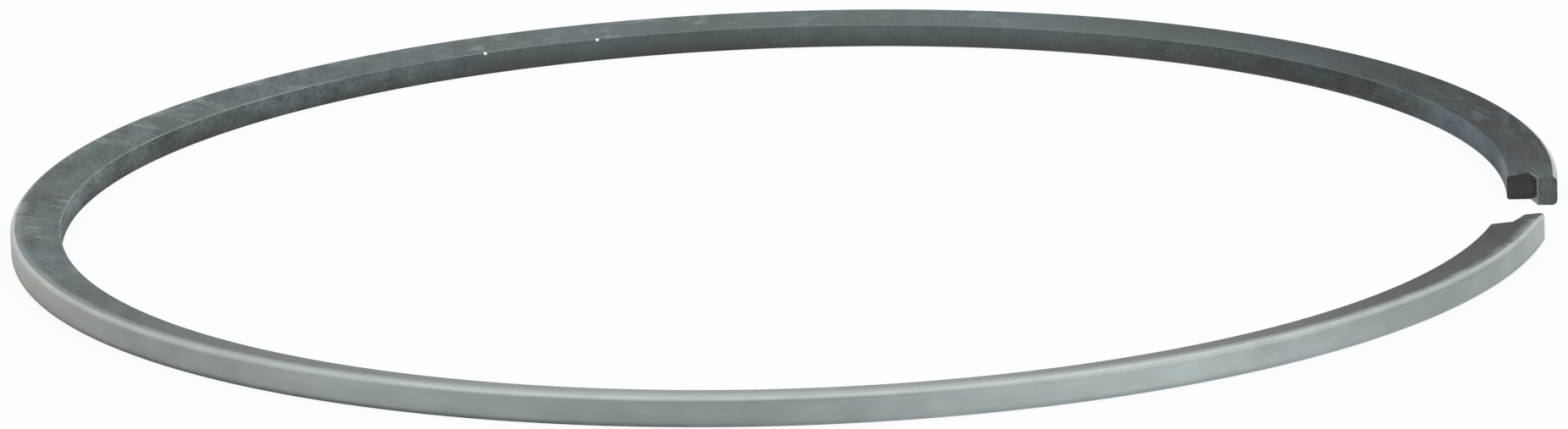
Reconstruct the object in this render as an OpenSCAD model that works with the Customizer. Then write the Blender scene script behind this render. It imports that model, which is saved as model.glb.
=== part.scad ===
// Piston ring for a two-stroke engine, lying as it comes to rest, sprung open to its free form.
// One piece of cast iron with a half-keystone section and a pin notch in the inner corner of each end.
// Millimetres, +Z up. The gap faces +X, and the lower flank lies on Z = 0.

/* [Ring] */
// Bore of the cylinder that the ring closes into
bore = 75; // [50:0.5:100]
// Height between the flanks at the running face
ring_height = 1.5; // [1.2:0.05:3]
// Radial width from the running face to the inner face
radial_width = 2.5; // [2.2:0.05:4]
// Slope of the upper flank, down towards the inner face, in degrees
flank_angle = 8; // [0:0.5:10]
// Gap between the tips of the ends with the ring free, along the middle of its width
free_gap = 7.2; // [4:0.1:12]

/* [Edges] */
// Radial width of the chamfer above the running face
upper_chamfer_width = 0.25; // [0.1:0.01:0.4]
// Height of the chamfer above the running face
upper_chamfer_height = 0.2; // [0.1:0.01:0.4]
// Size of the chamfer below the running face
lower_chamfer = 0.16; // [0.1:0.01:0.4]
// Size of the broken edges at the inner face
inner_edge_break = 0.08; // [0.02:0.01:0.15]

/* [Ends] */
// Radial width of the notch floor, measured from the inner face
notch_floor = 1.15; // [0.6:0.05:1.3]
// Radial run of the slanting wall between the notch floor and the tip
notch_wall_run = 0.36; // [0.1:0.02:0.5]
// Length of the notch along the ring, from the tip to the floor
notch_length = 1.2; // [0.6:0.05:2]

/* [Hidden] */
$fn = 240;

// Radii are kept to hundredths, so that the three arcs of the ring meet edge to edge.
radius_step = 0.01;
function to_step(value) = round(value / radius_step) * radius_step;

// Free form: a ring that presses evenly all round when closed is opened up most at its back.
// It is drawn as a half turn at the back and an arc to each end, tangent where they meet.
closed_radius = (bore - radial_width) / 2;
spring_share = free_gap / (3 * PI * closed_radius);
back_radius = to_step(closed_radius / (1 - spring_share * (1 + 2 / PI)));
end_radius = to_step(closed_radius / (1 - spring_share * (1 - 2 / PI)));
end_centre = back_radius - end_radius;
quarter_turn = 90;
half_turn = 180;

// Each end stops where half of the free gap is left to the middle line.
end_angle = asin((free_gap / 2 - end_centre) / end_radius);

// Section, with its middle on the arc's radius
half_width = radial_width / 2;
flank_drop = (radial_width - upper_chamfer_width) * tan(flank_angle);
inner_height = ring_height - flank_drop;
break_drop = inner_edge_break * tan(flank_angle);

// Reach of the free ring in X, from the centre of its back
back_reach = back_radius + half_width;
tip_reach = (end_radius + half_width) * cos(end_angle);
centre_offset = (back_reach - tip_reach) / 2;

// Room that the notch tool has past the ring on every side
overcut = 1;

module section() {
    polygon([
        [half_width - lower_chamfer, 0],
        [half_width, lower_chamfer],
        [half_width, ring_height - upper_chamfer_height],
        [half_width - upper_chamfer_width, ring_height],
        [inner_edge_break - half_width, inner_height + break_drop],
        [-half_width, inner_height - inner_edge_break],
        [-half_width, inner_edge_break],
        [inner_edge_break - half_width, 0]
    ]);
}

module arc(radius, from_angle, sweep) {
    rotate_extrude(angle = sweep, start = from_angle)
        translate([radius, 0])
            section();
}

// The notch runs through from flank to flank, with a floor across the ring and a slanting wall out to the tip.
module notch_tool() {
    floor_edge = notch_floor - half_width;
    wall_slope = notch_wall_run / notch_length;
    translate([end_radius, 0, -overcut])
        linear_extrude(ring_height + 2 * overcut)
            polygon([
                [-half_width - overcut, -overcut],
                [floor_edge + wall_slope * (notch_length + overcut), -overcut],
                [floor_edge, notch_length],
                [-half_width - overcut, notch_length]
            ]);
}

module ring_end() {
    translate([0, end_centre, 0])
        difference() {
            arc(end_radius, end_angle, quarter_turn - end_angle);
            rotate(end_angle)
                notch_tool();
        }
}

module piston_ring() {
    color("#6f7a79")
        translate([centre_offset, 0, 0])
            union() {
                arc(back_radius, quarter_turn, half_turn);
                ring_end();
                mirror([0, 1, 0])
                    ring_end();
            }
}

piston_ring();
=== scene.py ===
# A split piston ring lying free on a pale floor.

import math

import bmesh
import bpy
from mathutils import Matrix, Vector


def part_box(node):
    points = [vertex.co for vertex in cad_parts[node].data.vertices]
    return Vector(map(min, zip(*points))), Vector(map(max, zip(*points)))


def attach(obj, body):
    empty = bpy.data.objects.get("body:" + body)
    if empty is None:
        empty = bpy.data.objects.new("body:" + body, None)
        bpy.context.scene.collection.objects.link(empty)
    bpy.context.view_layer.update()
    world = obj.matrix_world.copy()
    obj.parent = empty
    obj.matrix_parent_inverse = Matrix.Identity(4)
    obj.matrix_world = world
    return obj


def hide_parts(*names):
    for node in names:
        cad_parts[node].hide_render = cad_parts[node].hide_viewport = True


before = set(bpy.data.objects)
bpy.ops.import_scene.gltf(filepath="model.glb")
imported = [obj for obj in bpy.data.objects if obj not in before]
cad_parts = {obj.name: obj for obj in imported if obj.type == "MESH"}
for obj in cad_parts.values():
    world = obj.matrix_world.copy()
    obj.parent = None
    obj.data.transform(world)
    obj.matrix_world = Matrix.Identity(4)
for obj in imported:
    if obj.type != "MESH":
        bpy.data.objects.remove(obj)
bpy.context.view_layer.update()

# Ring blank. The real ring is turned from cast iron, cut through once and sprung open, so its free
# form is a wide half turn at the back with a slightly tighter arc to each end. Its section is a half
# keystone: flat below, sloped down towards the middle above, with a chamfer on each side of the running face.
mm = 0.001
bore = 75 * mm
radial_width = 2.5 * mm
free_gap = 7.2 * mm
flank_slope = math.tan(math.radians(8))
upper_chamfer_width = 0.25 * mm
upper_chamfer_height = 0.2 * mm
lower_chamfer = 0.16 * mm
inner_edge_break = 0.08 * mm
crown = 0.012 * mm
half_turn = math.pi
quarter_turn = math.pi / 2

low, high = (Vector(corner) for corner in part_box("piston_ring"))
ring_height = high.z - low.z
half_width = radial_width / 2
back_reach = (high.y - low.y) / 2
back_radius = back_reach - half_width
closed_radius = (bore - radial_width) / 2
spring_share = free_gap / (3 * math.pi * closed_radius)
end_radius = closed_radius / (1 - spring_share * (1 - 2 / math.pi))
end_shift = back_radius - end_radius
end_angle = math.asin((free_gap / 2 - end_shift) / end_radius)
back_centre = Vector((low.x + back_reach, 0, 0))
far_centre = back_centre + Vector((0, end_shift, 0))
near_centre = back_centre - Vector((0, end_shift, 0))

# Corners of the section, across the ring and up. The rounding of the top edge takes the crown off again.
inner_height = ring_height - (radial_width - upper_chamfer_width) * flank_slope
chamfer_foot = ring_height - upper_chamfer_height
chamfer_top = ring_height + crown
flank_end = half_width - upper_chamfer_width
lower_corners = [(half_width - lower_chamfer, 0), (half_width, lower_chamfer)]
upper_corners = [(half_width, chamfer_foot), (flank_end, chamfer_top)]
inner_corners = [
    (inner_edge_break - half_width, inner_height + inner_edge_break * flank_slope),
    (-half_width, inner_height - inner_edge_break),
]
base_corners = [(-half_width, inner_edge_break), (inner_edge_break - half_width, 0)]
section = [*lower_corners, *upper_corners, *inner_corners, *base_corners]

ring_mesh = bmesh.new()
place_layer = ring_mesh.verts.layers.float_vector.new("ring_place")
round_layer = ring_mesh.faces.layers.float.new("worn_edge")
floor_layer = ring_mesh.faces.layers.float.new("notch_floor")
wall_layer = ring_mesh.faces.layers.float.new("notch_wall")
junction = back_centre + Vector((0, back_radius, 0))
section_verts = [ring_mesh.verts.new(junction + Vector((0, out, up))) for out, up in section]
section_face = ring_mesh.faces.new(section_verts)


def turn(face, centre, angle, steps):
    """Spins an end face about an upright axis, and returns the face that it ends in."""
    spun = bmesh.ops.spin(
        ring_mesh,
        geom=[face, *face.edges, *face.verts],
        cent=centre,
        axis=(0, 0, 1),
        angle=angle,
        steps=steps,
    )
    return next(item for item in spun["geom_last"] if isinstance(item, bmesh.types.BMFace))


# The notch angle is taken at the middle of the notch floor.
notch_floor = 1.15 * mm
notch_wall_run = 0.36 * mm
notch_length = 1.2 * mm
notch_angle = math.asin(notch_length / (end_radius - half_width + notch_floor / 2))
end_sweep = quarter_turn - end_angle - notch_angle
step_angle = math.radians(0.75)
back_steps = round(half_turn / step_angle)
end_steps = round(end_sweep / step_angle)

near_junction = turn(section_face, back_centre, half_turn, back_steps)
near_floor = turn(near_junction, near_centre, end_sweep, end_steps)
far_floor = turn(section_face, far_centre, -end_sweep, end_steps)

# Ends. A stepped notch is milled into the inner corner of each end for the locating pin in the piston's
# groove: a floor straight across the ring, then a slanting wall that runs out to the tip of the tongue.
tongue_steps = 6
floor_edge = notch_floor - half_width
cut_tolerance = 0.0001 * mm


def cut_notch(floor_face, centre, side):
    """Leaves the notch floor in place and carries the outer part of the face on to the tip, as a tongue."""
    floor_turn = side * (end_angle + notch_angle)
    outward = Vector((math.cos(floor_turn), math.sin(floor_turn), 0))
    split = bmesh.ops.bisect_plane(
        ring_mesh,
        geom=[floor_face, *floor_face.edges, *floor_face.verts],
        dist=cut_tolerance,
        plane_co=centre + outward * (end_radius + floor_edge),
        plane_no=outward,
    )
    halves = [item for item in split["geom"] if isinstance(item, bmesh.types.BMFace)]
    inner_half, outer_half = sorted(halves, key=lambda face: (face.calc_center_median() - centre).length)
    # The wall that the turn makes takes over the floor's mark.
    inner_half[floor_layer] = 1.0
    turn(outer_half, centre, -side * notch_angle, tongue_steps)
    for vert in ring_mesh.verts:
        from_centre = Vector((vert.co.x - centre.x, vert.co.y - centre.y, 0))
        past_floor = end_angle + notch_angle - side * math.atan2(from_centre.y, from_centre.x)
        on_wall = abs(from_centre.length - end_radius - floor_edge) < cut_tolerance
        if on_wall and vert.co.x > 0 and cut_tolerance < past_floor < 2 * notch_angle:
            shift = notch_wall_run * past_floor / notch_angle
            vert.co += from_centre.normalized() * shift
            if vert.co.z > ring_height / 2:
                vert.co.z += shift * flank_slope


cut_notch(far_floor, far_centre, 1)
cut_notch(near_floor, near_centre, -1)

# Edges. Lapping rolls the chamfers softly into the faces beside them, and the upper one runs out at the
# near tip. Tumbling rounds the inner edge, and deburring leaves every other edge with a small round that
# wears bare.
chamfer_round = 0.08 * mm
lower_round = 0.11 * mm
inner_round = 0.05 * mm
soft_segments = 4
edge_round = 0.032 * mm
edge_segments = 3
sharp_limit = math.radians(20)
half_turn_length = back_radius * quarter_turn


def ring_place(point):
    """How far a point is along the ring from the middle of its back, across from its middle, and up."""
    if point.x < back_centre.x:
        arm = point - back_centre
        back_turn = math.atan2(-arm.y, -arm.x)
        return Vector((back_radius * back_turn, arm.xy.length - back_radius, point.z))
    side = 1 if point.y < 0 else -1
    arm = point - (near_centre if side > 0 else far_centre)
    end_turn = math.atan2(arm.x, -side * arm.y)
    return Vector((side * (half_turn_length + end_radius * end_turn), arm.xy.length - end_radius, point.z))


def follows(edge, corner):
    """Whether an edge runs along the ring at one corner of its section."""
    spots = [ring_place(vert.co) for vert in edge.verts]
    return all(abs(spot.y - corner[0]) + abs(spot.z - corner[1]) < inner_edge_break / 2 for spot in spots)


def round_edges(edges, size, segments):
    """Rounds edges, and returns the faces of the rounds."""
    rounded = bmesh.ops.bevel(
        ring_mesh,
        geom=edges,
        offset=size,
        offset_type="OFFSET",
        affect="EDGES",
        segments=segments,
        profile=0.5,
        material=-1,
        clamp_overlap=False,
    )
    return rounded["faces"]


bmesh.ops.recalc_face_normals(ring_mesh, faces=ring_mesh.faces)
soft_corners = ((lower_corners, lower_round), (upper_corners, chamfer_round), (inner_corners, inner_round))
soft_edges = [
    ([edge for edge in ring_mesh.edges if any(follows(edge, corner) for corner in corners)], size)
    for corners, size in soft_corners
]
near_tip = half_turn_length + end_radius * (quarter_turn - end_angle)
run_out_width = 0.07 * mm
run_out_height = 0.15 * mm
for vert in ring_mesh.verts:
    spot = ring_place(vert.co)
    run_out = max(0.0, 1 - (near_tip - spot.x) / notch_length)
    if spot.y > 0 and abs(spot.z - chamfer_foot) < cut_tolerance:
        vert.co.z += run_out_height * run_out
    if spot.y > 0 and abs(spot.z - chamfer_top) < cut_tolerance:
        vert.co.xy += run_out_width * run_out * (vert.co - near_centre).xy.normalized()
for edges, size in soft_edges:
    round_edges([edge for edge in edges if edge.is_valid], size, soft_segments)
sharp_edges = [edge for edge in ring_mesh.edges if edge.calc_face_angle(0) > sharp_limit]
for face in round_edges(sharp_edges, edge_round, edge_segments):
    if face.calc_center_median().z > lower_chamfer:
        face[round_layer] = 1.0

# The running face and its two chamfers are bright, and every other face is phosphated. Faces that look
# inwards from the outer part of the ring are the notch walls, which are milled almost bare. Rounding hands
# the floors' mark on to the rims of the walls unevenly, so it is taken off them.
phosphate_slot = 0
bright_slot = 1
bright_height = lower_chamfer / 4
outward_limit = 0.45
rim_limit = 0.5
bare_share = 0.9
for vert in ring_mesh.verts:
    vert[place_layer] = ring_place(vert.co)
for face in ring_mesh.faces:
    face.smooth = True
    middle = face.calc_center_median()
    spot = ring_place(middle)
    outward = face.normal.dot(Vector((*middle.xy, 0)).normalized())
    bright = spot.y > flank_end and spot.z > bright_height and outward > outward_limit
    face.material_index = bright_slot if bright else phosphate_slot
    if spot.y > -half_width / 2 and outward < -outward_limit:
        face[wall_layer] = bare_share
        if abs(face.normal.z) > rim_limit:
            face[floor_layer] = 0.0

ring_data = bpy.data.meshes.new("piston_ring_body")
ring_mesh.to_mesh(ring_data)
ring_mesh.free()
ring = bpy.data.objects.new("piston_ring_body", ring_data)
bpy.context.collection.objects.link(ring)
face_normals = ring.modifiers.new("face_normals", "WEIGHTED_NORMAL")
face_normals.weight = 80
face_normals.keep_sharp = True

# Manganese phosphate on cast iron. The bath etches the iron and leaves a skin of fine dark crystals, which
# gives a satin grey-green with a close grain, paler clouds where oil was wiped off, and light handling marks.


def empty_material(name):
    """A material without any nodes."""
    material = bpy.data.materials.new(name)
    material.use_nodes = True
    material.node_tree.nodes.clear()
    return material


def srgb(code):
    """Linear colour of an sRGB hex code."""
    channels = [int(code[i : i + 2], 16) / 255 for i in (1, 3, 5)]
    linear = [c / 12.92 if c <= 0.04045 else ((c + 0.055) / 1.055) ** 2.4 for c in channels]
    return (*linear, 1.0)


def grey(level):
    """Linear grey of one level."""
    return (level, level, level, 1.0)


def add_node(tree, kind, settings=None, links=None, stops=()):
    """Adds a node, sets its properties or input values, links its inputs, and sets its ramp's stops."""
    node = tree.nodes.new(kind)
    for name, value in (settings or {}).items():
        if isinstance(name, str) and hasattr(node, name):
            setattr(node, name, value)
        else:
            node.inputs[name].default_value = value
    for name, output in (links or {}).items():
        tree.links.new(output, node.inputs[name])
    for index, (position, colour) in enumerate(stops):
        ramp = node.color_ramp.elements
        stop = ramp[index] if index < 2 else ramp.new(position)
        stop.position = position
        stop.color = colour
    return node


# Half the ring's length, rounded up.
along_reach = 114 * mm


def ring_sockets(tree):
    """The stored place on the ring, its parts along, across and up, and the share of the way along."""
    place = add_node(tree, "ShaderNodeAttribute", {"attribute_name": "ring_place"}).outputs["Vector"]
    along, across, height = add_node(tree, "ShaderNodeSeparateXYZ", links={"Vector": place}).outputs
    along_share = add_node(
        tree, "ShaderNodeMapRange", {"From Min": -along_reach, "From Max": along_reach}, {"Value": along}
    ).outputs["Result"]
    return place, along, across, height, along_share


def grey_stops(levels):
    """Ramp stops from pairs of a place along the ring, in mm from the middle of its back, and a level."""
    return [((mm * spot + along_reach) / (2 * along_reach), grey(level)) for spot, level in levels]


# Sockets of the mix node are picked by number, because those for levels and for colours share their names.
level_under = 2
level_over = 3
level_mixed = 0
colour_under = 6
colour_over = 7
colour_mixed = 2
multiplied = {"data_type": "RGBA", "blend_type": "MULTIPLY", "Factor": 1.0}


def lay_over(tree, colour, layers):
    """Lays colours over each other in turn, each by the share that its masks give when multiplied."""
    for layer_colour, share, *masks in layers:
        for mask in masks:
            share = add_node(
                tree, "ShaderNodeMath", {"operation": "MULTIPLY"}, {0: share, 1: mask}
            ).outputs["Value"]
        colour = add_node(
            tree,
            "ShaderNodeMix",
            {"data_type": "RGBA", colour_over: layer_colour},
            {"Factor": share, colour_under: colour},
        ).outputs[colour_mixed]
    return colour


phosphate = empty_material("manganese_phosphate")
tree = phosphate.node_tree
place, along, across, height, along_share = ring_sockets(tree)
inside = add_node(
    tree,
    "ShaderNodeMapRange",
    {"From Min": inner_edge_break - half_width, "From Max": inner_edge_break / 4 - half_width},
    {"Value": across},
).outputs["Result"]
on_flank = add_node(
    tree, "ShaderNodeMath", {"operation": "SUBTRACT", 0: 1.0}, {1: inside}
).outputs["Value"]

# Slow clouds turn the coat between grey-green and grey-blue.
cloud_size = 9.0 * mm
clouds = add_node(
    tree, "ShaderNodeTexNoise", {"Scale": 1 / cloud_size, "Detail": 3.0, "Roughness": 0.5}, {"Vector": place}
).outputs["Fac"]
coat = add_node(
    tree,
    "ShaderNodeValToRGB",
    links={"Fac": clouds},
    stops=[(0.36, srgb("#576360")), (0.64, srgb("#5d6a6e"))],
).outputs["Color"]

# Blotches and a close grain, both drawn coarser than the real crystals. They are also drawn longer in one
# direction over the whole ring, which gives the even speckle of the real coat when it is seen at a low angle.
blotch_size = 1.1 * mm
grain_size = 0.11 * mm
lay_angle = math.radians(9.23)
lay_stretch = 4.0
ring_spot = add_node(tree, "ShaderNodeTexCoord").outputs["Object"]
lay_place = add_node(
    tree,
    "ShaderNodeMapping",
    {"vector_type": "TEXTURE", "Rotation": (0, 0, lay_angle), "Scale": (1, lay_stretch, 1)},
    {"Vector": ring_spot},
).outputs["Vector"]
blotches, grain = (
    add_node(
        tree,
        "ShaderNodeTexNoise",
        {"Scale": 1 / crystal_size, "Detail": 3.0, "Roughness": 0.6},
        {"Vector": lay_place},
    ).outputs["Fac"]
    for crystal_size in (blotch_size, grain_size)
)
crystals = add_node(tree, "ShaderNodeMath", {"operation": "ADD"}, {0: blotches, 1: grain}).outputs["Value"]
flank_depth = add_node(
    tree,
    "ShaderNodeValToRGB",
    links={"Fac": along_share},
    stops=grey_stops(
        [(-106, 2.2), (-86, 0.8), (-74, 0.55), (-42, 0.55), (-24, 1.4), (5, 1.9)]
        + [(30, 1.1), (56, 0.2), (72, 0.2), (80, 0.9), (92, 0.8), (103, 2.8)]
    ),
).outputs["Color"]
inside_depth = add_node(
    tree,
    "ShaderNodeValToRGB",
    links={"Fac": along_share},
    stops=grey_stops(
        [(-100, 3.6), (-88, 3.4), (-80, 1.9), (-64, 0.7), (-42, 0.6), (-34, 1.0), (-26, 2.4), (-10, 3.0)]
    ),
).outputs["Color"]
depth = add_node(
    tree,
    "ShaderNodeMix",
    {"data_type": "FLOAT"},
    {"Factor": inside, level_under: flank_depth, level_over: inside_depth},
).outputs[level_mixed]
swing = add_node(tree, "ShaderNodeMath", {"operation": "SUBTRACT", 1: 1.0}, {0: crystals}).outputs["Value"]
grain_tone = add_node(
    tree, "ShaderNodeMath", {"operation": "MULTIPLY_ADD", 2: 1.0}, {0: swing, 1: depth}
).outputs["Value"]

# The coat is heavier and darker towards the ends, and on the rough-turned inside, where it varies more. These
# levels are partly painted light: painted shade towards both ends and on parts of the inside, and a painted
# sheen at the middle of the near side.
flank_tone_and_light = add_node(
    tree,
    "ShaderNodeValToRGB",
    links={"Fac": along_share},
    stops=grey_stops(
        [(-114, 1.1), (-111.5, 0.2), (-104, 0.1), (-97, 0.14), (-90, 0.22), (-84, 0.43)]
        + [(-66, 0.98), (-36, 1.02), (-21, 0.88), (-13, 0.82), (-6, 0.98), (2, 0.76)]
        + [(15, 0.8), (31, 0.62), (42, 0.55), (57, 0.86), (68, 0.62), (74, 0.5)]
        + [(80, 0.22), (88, 0.12), (98, 0.12), (107, 0.2), (112, 0.04)]
    ),
).outputs["Color"]
inside_tone_and_shade = add_node(
    tree,
    "ShaderNodeValToRGB",
    links={"Fac": along_share},
    stops=grey_stops(
        [(-111, 1.0), (-107, 0.25), (-99.5, 0.74), (-92.5, 0.22), (-85, 0.11), (-71, 0.58)]
        + [(-57, 0.82), (-48, 0.66), (-35, 0.68), (-27, 0.8), (-13, 0.56), (-4.5, 0.92)]
    ),
).outputs["Color"]
side_tone_and_light = add_node(
    tree,
    "ShaderNodeMix",
    {"data_type": "FLOAT"},
    {"Factor": inside, level_under: flank_tone_and_light, level_over: inside_tone_and_shade},
).outputs[level_mixed]
coat_tone_and_light = add_node(
    tree, "ShaderNodeMath", {"operation": "MULTIPLY"}, {0: grain_tone, 1: side_tone_and_light}
).outputs["Value"]

# Towards the far end the flank is darkest along its outer edge.
shade_start = -60 * mm
shade_full = -85 * mm
inner_lift = -0.35
outer_drop = 0.45
far_end = add_node(
    tree, "ShaderNodeMapRange", {"From Min": shade_start, "From Max": shade_full}, {"Value": along}
).outputs["Result"]
outer_shade = add_node(
    tree,
    "ShaderNodeMapRange",
    {"From Min": -half_width, "From Max": half_width, "To Min": inner_lift, "To Max": outer_drop},
    {"Value": across},
).outputs["Result"]
shade = add_node(
    tree, "ShaderNodeMath", {"operation": "MULTIPLY"}, {0: far_end, 1: outer_shade}
).outputs["Value"]
shade_tone = add_node(tree, "ShaderNodeMath", {"operation": "SUBTRACT", 0: 1.0}, {1: shade}).outputs["Value"]
colour = coat
for tone in (coat_tone_and_light, shade_tone):
    colour = add_node(
        tree, "ShaderNodeMix", multiplied, {colour_under: colour, colour_over: tone}
    ).outputs[colour_mixed]

# The inside is browned at its foot, and parts of it, towards the far end, have a bluish bloom.
brown_start = 0.9 * mm
brown_full = 0.1 * mm
brown_share = 0.6
foot = add_node(
    tree,
    "ShaderNodeMapRange",
    {"From Min": brown_start, "From Max": brown_full, "To Max": brown_share},
    {"Value": height},
).outputs["Result"]
bloom_along = add_node(
    tree,
    "ShaderNodeValToRGB",
    links={"Fac": along_share},
    stops=grey_stops([(-111, 0.6), (-109, 0.4), (-106.5, 0.05), (-99, 0.5), (-93, 0.0)]),
).outputs["Color"]

# Painted glints: single crystals are painted as pale flecks, fewest along the near side.
glint_size = 0.11 * mm
glint_noise = add_node(
    tree, "ShaderNodeTexNoise", {"Scale": 1 / glint_size, "Detail": 1.0}, {"Vector": place}
).outputs["Fac"]
painted_glints = add_node(
    tree, "ShaderNodeMapRange", {"From Min": 0.62, "From Max": 0.8}, {"Value": glint_noise}
).outputs["Result"]
glints_along = add_node(
    tree,
    "ShaderNodeValToRGB",
    links={"Fac": along_share},
    stops=grey_stops(
        [(-75, 0.25), (-60, 0.18), (-40, 0.18), (-25, 0.3), (25, 0.25), (48, 0.04), (80, 0.04), (95, 0.2)]
    ),
).outputs["Color"]

# Handling leaves round smudges, most on the far side, and soft light strokes across the flank, in groups
# and most round the back.
smudge_size = 1.3 * mm
smudge_stretch = 1.6
smudge_place = add_node(
    tree, "ShaderNodeMapping", {"Scale": (1 / smudge_stretch, 1, 1)}, {"Vector": place}
).outputs["Vector"]
smudge_noise = add_node(
    tree,
    "ShaderNodeTexNoise",
    {"Scale": 1 / smudge_size, "Detail": 2.0, "Distortion": 1.0},
    {"Vector": smudge_place},
).outputs["Fac"]
smudges = add_node(
    tree, "ShaderNodeMapRange", {"From Min": 0.56, "From Max": 0.78}, {"Value": smudge_noise}
).outputs["Result"]
smudges_along = add_node(
    tree,
    "ShaderNodeValToRGB",
    links={"Fac": along_share},
    stops=grey_stops([(-72, 0.0), (-58, 0.45), (-26, 0.6), (-14, 0.25), (28, 0.2), (40, 0.0)]),
).outputs["Color"]
stroke_width = 0.6 * mm
stroke_length = 2.5 * mm
stroke_slant = math.radians(25)
stroke_place = add_node(
    tree,
    "ShaderNodeMapping",
    {"Rotation": (0, 0, stroke_slant), "Scale": (1 / stroke_width, 1 / stroke_length, 1 / stroke_length)},
    {"Vector": place},
).outputs["Vector"]
stroke_noise = add_node(
    tree, "ShaderNodeTexNoise", {"Scale": 1.0, "Detail": 2.0, "Distortion": 2.0}, {"Vector": stroke_place}
).outputs["Fac"]
strokes = add_node(
    tree, "ShaderNodeMapRange", {"From Min": 0.54, "From Max": 0.8}, {"Value": stroke_noise}
).outputs["Result"]
group_size = 5.0 * mm
group_noise = add_node(
    tree, "ShaderNodeTexNoise", {"Scale": 1 / group_size, "Detail": 2.0}, {"Vector": place}
).outputs["Fac"]
groups = add_node(
    tree, "ShaderNodeMapRange", {"From Min": 0.45, "From Max": 0.58, "To Max": 0.85}, {"Value": group_noise}
).outputs["Result"]
strokes_along = add_node(
    tree,
    "ShaderNodeValToRGB",
    links={"Fac": along_share},
    stops=grey_stops([(-30, 0.0), (-20, 1.0), (18, 1.0), (32, 0.2)]),
).outputs["Color"]

# Edges are rubbed back to paler metal, most round the back, and so is the flank beside the chamfer, in spots.
# The soft pale band along the inner edge is partly rubbed metal and partly a painted highlight.
rub_length = 2.0 * mm
rub_reach = 0.55 * mm
worn_edge = add_node(tree, "ShaderNodeAttribute", {"attribute_name": "worn_edge"}).outputs["Fac"]
rub_noise = add_node(
    tree, "ShaderNodeTexNoise", {"Scale": 1 / rub_length, "Detail": 4.0, "Roughness": 0.7}, {"Vector": place}
).outputs["Fac"]
rub = add_node(
    tree, "ShaderNodeMapRange", {"From Min": 0.36, "From Max": 0.62, "To Max": 0.9}, {"Value": rub_noise}
).outputs["Result"]
rub_along = add_node(
    tree,
    "ShaderNodeValToRGB",
    links={"Fac": along_share},
    stops=grey_stops(
        [(-109, 0.25), (-60, 0.15), (-38, 0.3), (-25, 0.75), (-12, 0.9), (30, 0.9), (60, 0.4), (114, 0.6)]
    ),
).outputs["Color"]
inner_edge_highlight_across = add_node(
    tree,
    "ShaderNodeMapRange",
    {"From Min": 1.4 * inner_edge_break - half_width, "From Max": 0.8 * inner_edge_break - half_width},
    {"Value": across},
).outputs["Result"]
inner_edge_highlight_height = add_node(
    tree,
    "ShaderNodeMapRange",
    {"From Min": inner_height - 0.6 * inner_edge_break, "From Max": inner_height - 0.2 * inner_edge_break},
    {"Value": height},
).outputs["Result"]
beside_chamfer = add_node(
    tree,
    "ShaderNodeMapRange",
    {"From Min": flank_end - rub_reach, "From Max": flank_end, "To Max": 0.8},
    {"Value": across},
).outputs["Result"]
rubbed_spots = add_node(
    tree, "ShaderNodeMapRange", {"From Min": 0.52, "From Max": 0.64}, {"Value": rub_noise}
).outputs["Result"]
spots_along = add_node(
    tree,
    "ShaderNodeValToRGB",
    links={"Fac": along_share},
    stops=grey_stops([(-100, 0.05), (-60, 0.2), (-30, 0.8), (-15, 1.0)]),
).outputs["Color"]

# Along the near half a painted sheen pales the flank, furthest in at its middle. Its last half millimetre, up
# to the chamfer, is painted almost bright, partly as an edge rolled by the lap and partly as a painted
# highlight.
sheen_reaches = [(0, 0.3), (35, 0.8), (57, 1.7), (80, 1.5), (88, 1.0), (98, 0.5), (108, 0.3)]
rolled_highlight_reach = 0.45 * mm
from_chamfer = add_node(
    tree, "ShaderNodeMath", {"operation": "SUBTRACT", 0: flank_end}, {1: across}
).outputs["Value"]
sheen_reach = add_node(
    tree,
    "ShaderNodeValToRGB",
    links={"Fac": along_share},
    stops=grey_stops([(spot, reach * mm) for spot, reach in sheen_reaches]),
).outputs["Color"]
sheen_share = add_node(
    tree, "ShaderNodeMath", {"operation": "DIVIDE"}, {0: from_chamfer, 1: sheen_reach}
).outputs["Value"]
painted_sheen = add_node(
    tree,
    "ShaderNodeMapRange",
    {"interpolation_type": "SMOOTHSTEP", "From Min": 1.0, "From Max": 0.0},
    {"Value": sheen_share},
).outputs["Result"]
sheen_along = add_node(
    tree,
    "ShaderNodeValToRGB",
    links={"Fac": along_share},
    stops=grey_stops([(-15, 0.0), (15, 0.45), (40, 0.65), (74, 0.63), (84, 0.42), (98, 0.32), (112, 0.08)]),
).outputs["Color"]
rolled_edge_and_highlight = add_node(
    tree,
    "ShaderNodeMapRange",
    {
        "interpolation_type": "SMOOTHSTEP",
        "From Min": flank_end - rolled_highlight_reach,
        "From Max": flank_end - chamfer_round,
    },
    {"Value": across},
).outputs["Result"]
rolled_highlight_along = add_node(
    tree,
    "ShaderNodeValToRGB",
    links={"Fac": along_share},
    stops=grey_stops([(0, 0.0), (26, 0.25), (40, 0.8), (85, 0.85), (98, 0.5), (112, 0.05)]),
).outputs["Color"]

# Oil has dried in long paler smears towards the far end.
smear_size = 0.8 * mm
smear_stretch = 4.0
smear_place = add_node(
    tree, "ShaderNodeMapping", {"Scale": (1 / smear_stretch, 1, 1)}, {"Vector": place}
).outputs["Vector"]
smear_noise = add_node(
    tree,
    "ShaderNodeTexNoise",
    {"Scale": 1 / smear_size, "Detail": 4.0, "Roughness": 0.65, "Distortion": 1.0},
    {"Vector": smear_place},
).outputs["Fac"]
smears = add_node(
    tree, "ShaderNodeMapRange", {"From Min": 0.45, "From Max": 0.66, "To Max": 0.8}, {"Value": smear_noise}
).outputs["Result"]
smears_along = add_node(
    tree,
    "ShaderNodeValToRGB",
    links={"Fac": along_share},
    stops=grey_stops([(-112, 0.6), (-106, 0.6), (-100, 0.9), (-92, 0.6), (-76, 0.0)]),
).outputs["Color"]
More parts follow.
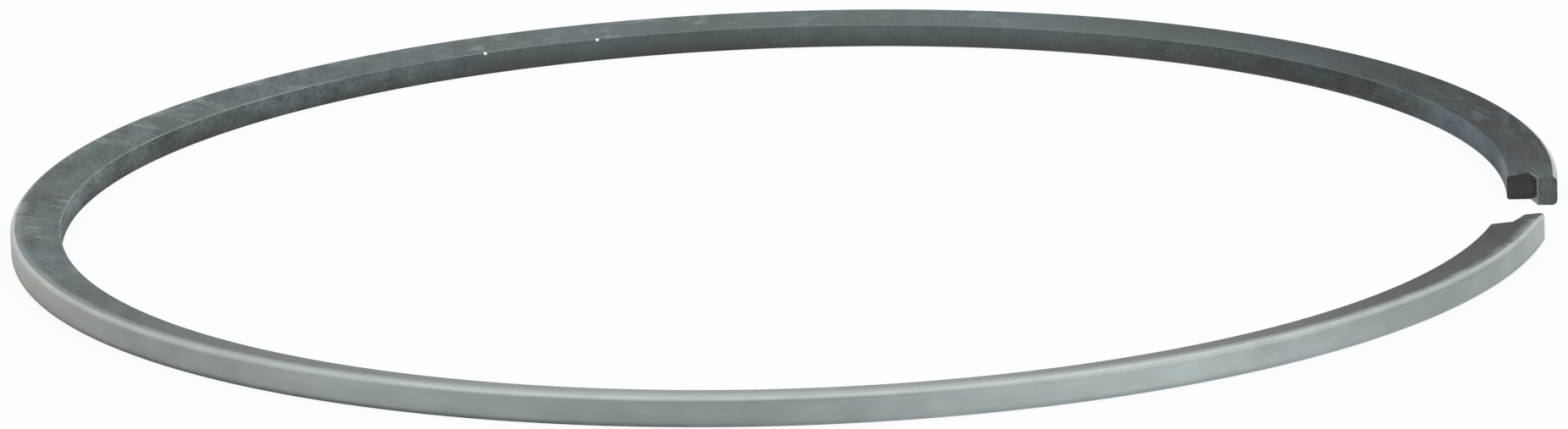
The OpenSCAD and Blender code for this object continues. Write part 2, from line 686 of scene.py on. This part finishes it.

# Two near-white specks are put on the inner edge, on the far side.
speck_size = 0.12 * mm
speck_across = inner_edge_break / 2 - half_width
speck_height = inner_height - inner_edge_break / 2
white_specks = []
for speck_along in (-35.95 * mm, -42.45 * mm):
    from_speck = add_node(
        tree,
        "ShaderNodeVectorMath",
        {"operation": "DISTANCE", 1: (speck_along, speck_across, speck_height)},
        {0: place},
    ).outputs["Value"]
    white_speck = add_node(
        tree, "ShaderNodeMapRange", {"From Min": speck_size, "From Max": speck_size / 2}, {"Value": from_speck}
    ).outputs["Result"]
    white_specks.append(white_speck)

# The notch walls are milled almost bare, and the notch floors and these walls are then painted near black,
# less in places.
notch_wall = add_node(tree, "ShaderNodeAttribute", {"attribute_name": "notch_wall"}).outputs["Fac"]
notch_dark = add_node(tree, "ShaderNodeAttribute", {"attribute_name": "notch_floor"}).outputs["Fac"]
notch_dark_cover = add_node(
    tree,
    "ShaderNodeMapRange",
    {"From Min": 0.7, "From Max": 1.3, "To Min": 1.0, "To Max": 0.75},
    {"Value": crystals},
).outputs["Result"]

# Pale metal serves the real wear and handling marks, and also the painted glints, sheen and highlights.
pale_metal_and_sheen = srgb("#93a09f")
speck_white = srgb("#f2f4f3")
coat_layers = [
    (srgb("#37322d"), foot, inside),
    (srgb("#4c6070"), bloom_along, inside),
    # Painted glints of single crystals.
    (pale_metal_and_sheen, painted_glints, glints_along),
    (pale_metal_and_sheen, smudges, smudges_along, on_flank),
    (pale_metal_and_sheen, strokes, groups, strokes_along, on_flank),
    (pale_metal_and_sheen, worn_edge, rub, rub_along),
    # Partly rubbed metal and partly a painted highlight along the inner edge.
    (pale_metal_and_sheen, inner_edge_highlight_across, inner_edge_highlight_height, rub, rub_along),
    (pale_metal_and_sheen, beside_chamfer, rubbed_spots, spots_along),
    # Painted sheen on the near half of the flank.
    (pale_metal_and_sheen, painted_sheen, sheen_along),
    # Partly a rolled edge and partly a painted highlight beside the chamfer.
    (srgb("#a9b1af"), rolled_edge_and_highlight, rolled_highlight_along),
    (srgb("#4a5f62"), smears, smears_along),
    *((speck_white, white_speck) for white_speck in white_specks),
    (srgb("#c1cbcc"), notch_wall),
    (srgb("#0d0c0c"), notch_dark, notch_dark_cover),
]
colour = lay_over(tree, colour, coat_layers)

# The flanks are satin and the rough-turned inside is matt. The crystals stand up most towards the ends and
# round the back.
flank_roughness = 0.25
inside_roughness = 0.75
crystal_height = 0.02 * mm
roughness = add_node(
    tree, "ShaderNodeMapRange", {"To Min": flank_roughness, "To Max": inside_roughness}, {"Value": inside}
).outputs["Result"]
bump_along = add_node(
    tree,
    "ShaderNodeValToRGB",
    links={"Fac": along_share},
    stops=grey_stops(
        [(-110, 0.3), (-92, 0.24), (-80, 0.1), (-40, 0.12), (-26, 0.26)]
        + [(0, 0.3), (44, 0.0), (76, 0.0), (94, 0.18), (104, 0.45)]
    ),
).outputs["Color"]
bump = add_node(
    tree, "ShaderNodeBump", {"Distance": crystal_height}, {"Height": crystals, "Strength": bump_along}
).outputs["Normal"]
coated_iron = add_node(
    tree,
    "ShaderNodeBsdfPrincipled",
    links={"Base Color": colour, "Roughness": roughness, "Normal": bump},
).outputs["BSDF"]
add_node(tree, "ShaderNodeOutputMaterial", links={"Surface": coated_iron})

# Hard chrome on the running face, ground and lapped. It is a satin silver-grey with slow changes of tone
# along the ring, and the upper chamfer, ground last, is left paler and also carries a painted highlight.
chrome_roughness = 0.36
hue_start = 10 * mm
hue_full = 55 * mm
chrome = empty_material("lapped_hard_chrome")
tree = chrome.node_tree
place, along, _, height, along_share = ring_sockets(tree)
lap_hue = add_node(
    tree, "ShaderNodeMapRange", {"From Min": hue_start, "From Max": hue_full}, {"Value": along}
).outputs["Result"]
face_colour = add_node(
    tree,
    "ShaderNodeMix",
    {"data_type": "RGBA", colour_under: srgb("#979992"), colour_over: srgb("#929b9b")},
    {"Factor": lap_hue},
).outputs[colour_mixed]
# Slow changes of tone along the ring.
face_level_along = add_node(
    tree,
    "ShaderNodeValToRGB",
    links={"Fac": along_share},
    stops=grey_stops(
        [(20, 1.07), (38, 1.0), (43.5, 1.2), (50, 1.05), (62, 0.92)]
        + [(72, 1.02), (86, 1.05), (96, 0.99), (101, 0.91)]
    ),
).outputs["Color"]

# Clouds, fine streaks along the ring and, last, blotches, each by its size, stretch and swing of tone.
mottles = ((4.5 * mm, 1.0, 0.04), (0.45 * mm, 8.0, 0.03), (1.5 * mm, 1.5, 0.055))
mottle_low = 0.35
mottle_high = 0.65
face_levels = [face_level_along]
for mottle_size, mottle_stretch, mottle_swing in mottles:
    mottle_place = add_node(
        tree, "ShaderNodeMapping", {"Scale": (1 / mottle_stretch, 1, 1)}, {"Vector": place}
    ).outputs["Vector"]
    mottle_noise = add_node(
        tree,
        "ShaderNodeTexNoise",
        {"Scale": 1 / mottle_size, "Detail": 4.0, "Roughness": 0.65},
        {"Vector": mottle_place},
    ).outputs["Fac"]
    mottle_level = add_node(
        tree,
        "ShaderNodeMapRange",
        {
            "From Min": mottle_low,
            "From Max": mottle_high,
            "To Min": 1 - mottle_swing,
            "To Max": 1 + mottle_swing,
        },
        {"Value": mottle_noise},
    ).outputs["Result"]
    face_levels.append(mottle_level)
for level in face_levels:
    face_colour = add_node(
        tree, "ShaderNodeMix", multiplied, {colour_under: face_colour, colour_over: level}
    ).outputs[colour_mixed]

# The paler strip covers the upper chamfer and fades out just below it, and is partly a painted highlight with
# its crest on the chamfer. The blotches also wear it unevenly.
strip_highlight_height = 1.35 * upper_chamfer_height
strip_highlight_rise = add_node(
    tree,
    "ShaderNodeMapRange",
    {"From Min": ring_height - strip_highlight_height, "From Max": ring_height},
    {"Value": height},
).outputs["Result"]
strip_and_highlight = add_node(
    tree,
    "ShaderNodeValToRGB",
    links={"Fac": strip_highlight_rise},
    stops=[(0.0, grey(0.0)), (0.2, grey(0.0)), (0.6, grey(1.0)), (1.0, grey(0.6))],
)
strip_and_highlight.color_ramp.interpolation = "B_SPLINE"
strip_highlight_along = add_node(
    tree,
    "ShaderNodeValToRGB",
    links={"Fac": along_share},
    stops=grey_stops([(0, 0.8), (30, 0.8), (50, 0.65), (70, 0.65), (86, 1.0), (100, 0.95)]),
).outputs["Color"]
strip_wear = add_node(
    tree,
    "ShaderNodeMapRange",
    {"From Min": mottle_low, "From Max": mottle_high, "To Min": 0.8, "To Max": 1.1},
    {"Value": mottle_noise},
).outputs["Result"]

# A dark band is painted along the lower edge as painted shade, for the shadowed floor that the edge mirrors.
# It is darkest round the back, almost gone just past the middle of the near side, and there again before the
# near end.
edge_shade_height = 0.42 * mm
painted_edge_shade = add_node(
    tree,
    "ShaderNodeMapRange",
    {"interpolation_type": "SMOOTHSTEP", "From Min": edge_shade_height, "From Max": 0.0},
    {"Value": height},
).outputs["Result"]
edge_shade_along = add_node(
    tree,
    "ShaderNodeValToRGB",
    links={"Fac": along_share},
    stops=grey_stops(
        [(20, 0.66), (29, 0.64), (35, 0.53), (45, 0.5), (58, 0.15)]
        + [(63, 0.03), (70, 0.03), (80, 0.55), (86, 0.54), (96.5, 0.14)]
    ),
).outputs["Color"]
chrome_layers = [
    # Partly a painted highlight on the upper chamfer.
    (srgb("#ccd4d3"), strip_and_highlight.outputs["Color"], strip_highlight_along, strip_wear),
    # Painted shade along the lower edge.
    (srgb("#4b4f50"), painted_edge_shade, edge_shade_along),
]
face_colour = lay_over(tree, face_colour, chrome_layers)
lapped_face = add_node(
    tree,
    "ShaderNodeBsdfPrincipled",
    {"Roughness": chrome_roughness, "Metallic": 1.0},
    {"Base Color": face_colour},
).outputs["BSDF"]
add_node(tree, "ShaderNodeOutputMaterial", links={"Surface": lapped_face})

ring_data.materials.append(phosphate)
ring_data.materials.append(chrome)
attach(ring, "root")
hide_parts("piston_ring")

# Floor. A plain pale sweep that shows white to the eye and keeps a soft share of the ring's shadow. The
# camera looks along the lay of the grain, and right, away and up are meant from here on as it sees them.
facing = Matrix.Rotation(lay_angle, 4, "Z")
level_right = facing @ Vector((1, 0, 0))
floor_reach = 3.0
floor_data = bpy.data.meshes.new("floor")
floor_mesh = bmesh.new()
bmesh.ops.create_grid(floor_mesh, x_segments=1, y_segments=1, size=floor_reach)
floor_mesh.to_mesh(floor_data)
floor_mesh.free()
floor = bpy.data.objects.new("floor", floor_data)
bpy.context.collection.objects.link(floor)
pale = empty_material("pale_sweep")
tree = pale.node_tree
paper = add_node(tree, "ShaderNodeBsdfDiffuse", {"Color": srgb("#f4f4f4")}).outputs["BSDF"]
ray = add_node(tree, "ShaderNodeLightPath").outputs

# What the ring mirrors of the floor glows within the ring. Outside, it is plain paper on the left, glows
# most some way right of the middle, and about half as much beyond that.
glow_start = -12 * mm
glow_end = 38 * mm
within_edge = 34 * mm
within_full = 30 * mm
seen_white = 0.91
mirrored_level = 1.4
floor_spot = add_node(tree, "ShaderNodeTexCoord").outputs["Object"]
to_right = add_node(
    tree, "ShaderNodeVectorMath", {"operation": "DOT_PRODUCT", 1: level_right}, {0: floor_spot}
).outputs["Value"]
right_place = add_node(
    tree, "ShaderNodeMapRange", {"From Min": glow_start, "From Max": glow_end}, {"Value": to_right}
).outputs["Result"]
right_share = add_node(
    tree,
    "ShaderNodeValToRGB",
    links={"Fac": right_place},
    stops=[(0.0, grey(0.0)), (0.65, grey(0.9)), (1.0, grey(0.4))],
)
right_share.color_ramp.interpolation = "EASE"
from_middle = add_node(
    tree, "ShaderNodeVectorMath", {"operation": "LENGTH"}, {0: floor_spot}
).outputs["Value"]
within = add_node(
    tree, "ShaderNodeMapRange", {"From Min": within_edge, "From Max": within_full}, {"Value": from_middle}
).outputs["Result"]
mirrored_share = add_node(
    tree, "ShaderNodeMath", {"operation": "MAXIMUM"}, {0: right_share.outputs["Color"], 1: within}
).outputs["Value"]
seen_share = add_node(
    tree, "ShaderNodeMath", {"operation": "MULTIPLY", 1: seen_white}, {0: ray["Is Camera Ray"]}
).outputs["Value"]
glow_share = add_node(
    tree,
    "ShaderNodeMath",
    {"operation": "MULTIPLY_ADD"},
    {0: ray["Is Glossy Ray"], 1: mirrored_share, 2: seen_share},
).outputs["Value"]
glow_level = add_node(
    tree, "ShaderNodeMapRange", {"To Min": 1.0, "To Max": mirrored_level}, {"Value": ray["Is Glossy Ray"]}
).outputs["Result"]
glow = add_node(
    tree, "ShaderNodeEmission", {"Color": srgb("#ffffff")}, {"Strength": glow_level}
).outputs["Emission"]
sweep = add_node(tree, "ShaderNodeMixShader", links={0: glow_share, 1: paper, 2: glow}).outputs["Shader"]
add_node(tree, "ShaderNodeOutputMaterial", links={"Surface": sweep})
floor_data.materials.append(pale)

# Studio light. A white tent, a little dimmer on the camera's side and with a dark patch low on the far side,
# a soft box overhead and a soft window on the right. Colours render about as they are written in it.
level_away = facing @ Vector((0, 1, 0))
near_reach = -0.7
near_level = 0.85
away_reach = 0.4
away_level = 0.9
patch_height = math.radians(19)
patch_edge = math.radians(20)
patch_core = math.radians(13)
patch_level = 0.35
world = bpy.data.worlds.new("tent")
bpy.context.scene.world = world
world.use_nodes = True
tree = world.node_tree
tree.nodes.clear()
direction = add_node(tree, "ShaderNodeTexCoord").outputs["Generated"]
to_away = add_node(
    tree, "ShaderNodeVectorMath", {"operation": "DOT_PRODUCT", 1: level_away}, {0: direction}
).outputs["Value"]
tent_level = add_node(
    tree,
    "ShaderNodeMapRange",
    {
        "interpolation_type": "SMOOTHSTEP",
        "From Min": near_reach,
        "From Max": away_reach,
        "To Min": near_level,
        "To Max": away_level,
    },
    {"Value": to_away},
).outputs["Result"]
patch_way = facing @ Vector((0, math.cos(patch_height), math.sin(patch_height)))
to_patch = add_node(
    tree, "ShaderNodeVectorMath", {"operation": "DOT_PRODUCT", 1: patch_way}, {0: direction}
).outputs["Value"]
patch = add_node(
    tree,
    "ShaderNodeMapRange",
    {
        "interpolation_type": "SMOOTHSTEP",
        "From Min": math.cos(patch_edge),
        "From Max": math.cos(patch_core),
        "To Min": 1.0,
        "To Max": patch_level,
    },
    {"Value": to_patch},
).outputs["Result"]
light_level = add_node(
    tree, "ShaderNodeMath", {"operation": "MULTIPLY"}, {0: tent_level, 1: patch}
).outputs["Value"]
tent = add_node(
    tree, "ShaderNodeBackground", {"Color": srgb("#ffffff")}, {"Strength": light_level}
).outputs["Background"]
add_node(tree, "ShaderNodeOutputWorld", links={"Surface": tent})


def soft_light(name, position, size, power):
    """A square lamp that faces the ring, with its place given right, away and up, in metres."""
    lamp = bpy.data.lights.new(name, "AREA")
    lamp.size = size
    lamp.energy = power
    lamp_object = bpy.data.objects.new(name, lamp)
    lamp_object.location = facing @ Vector(position)
    lamp_object.rotation_euler = lamp_object.location.to_track_quat("Z", "Y").to_euler()
    bpy.context.collection.objects.link(lamp_object)


soft_light("overhead", position=(0, 0, 0.6), size=0.7, power=0.5)
soft_light("window", position=(0.72, -0.45, 0.31), size=0.9, power=1.6)

# Camera. A long lens low over the floor, with the ring's gap on the right and turned a little towards it.
# The middle of the ring lies aside, below and forward of the lens by the distances given.
elevation = math.radians(14.356)
roll = math.radians(-1.924)
distance = 540 * mm
aside = -0.0851 * mm
below = 0.2003 * mm
focal_pixels = 12847.6
image_width = 1853
sensor_width = 36.0

level_down = facing @ Vector((0, -math.sin(elevation), -math.cos(elevation)))
forward = facing @ Vector((0, math.cos(elevation), -math.sin(elevation)))
rightward = math.cos(roll) * level_right - math.sin(roll) * level_down
downward = math.sin(roll) * level_right + math.cos(roll) * level_down
camera_data = bpy.data.cameras.new("camera")
camera_data.sensor_fit = "HORIZONTAL"
camera_data.sensor_width = sensor_width
camera_data.lens = focal_pixels * sensor_width / image_width
camera = bpy.data.objects.new("camera", camera_data)
axes = Matrix((rightward, -downward, -forward)).transposed().to_4x4()
stand = -(aside * rightward + below * downward + distance * forward)
camera.matrix_world = Matrix.Translation(stand) @ axes
bpy.context.collection.objects.link(camera)
bpy.context.scene.camera = camera
bpy.context.scene.view_settings.view_transform = "Standard"
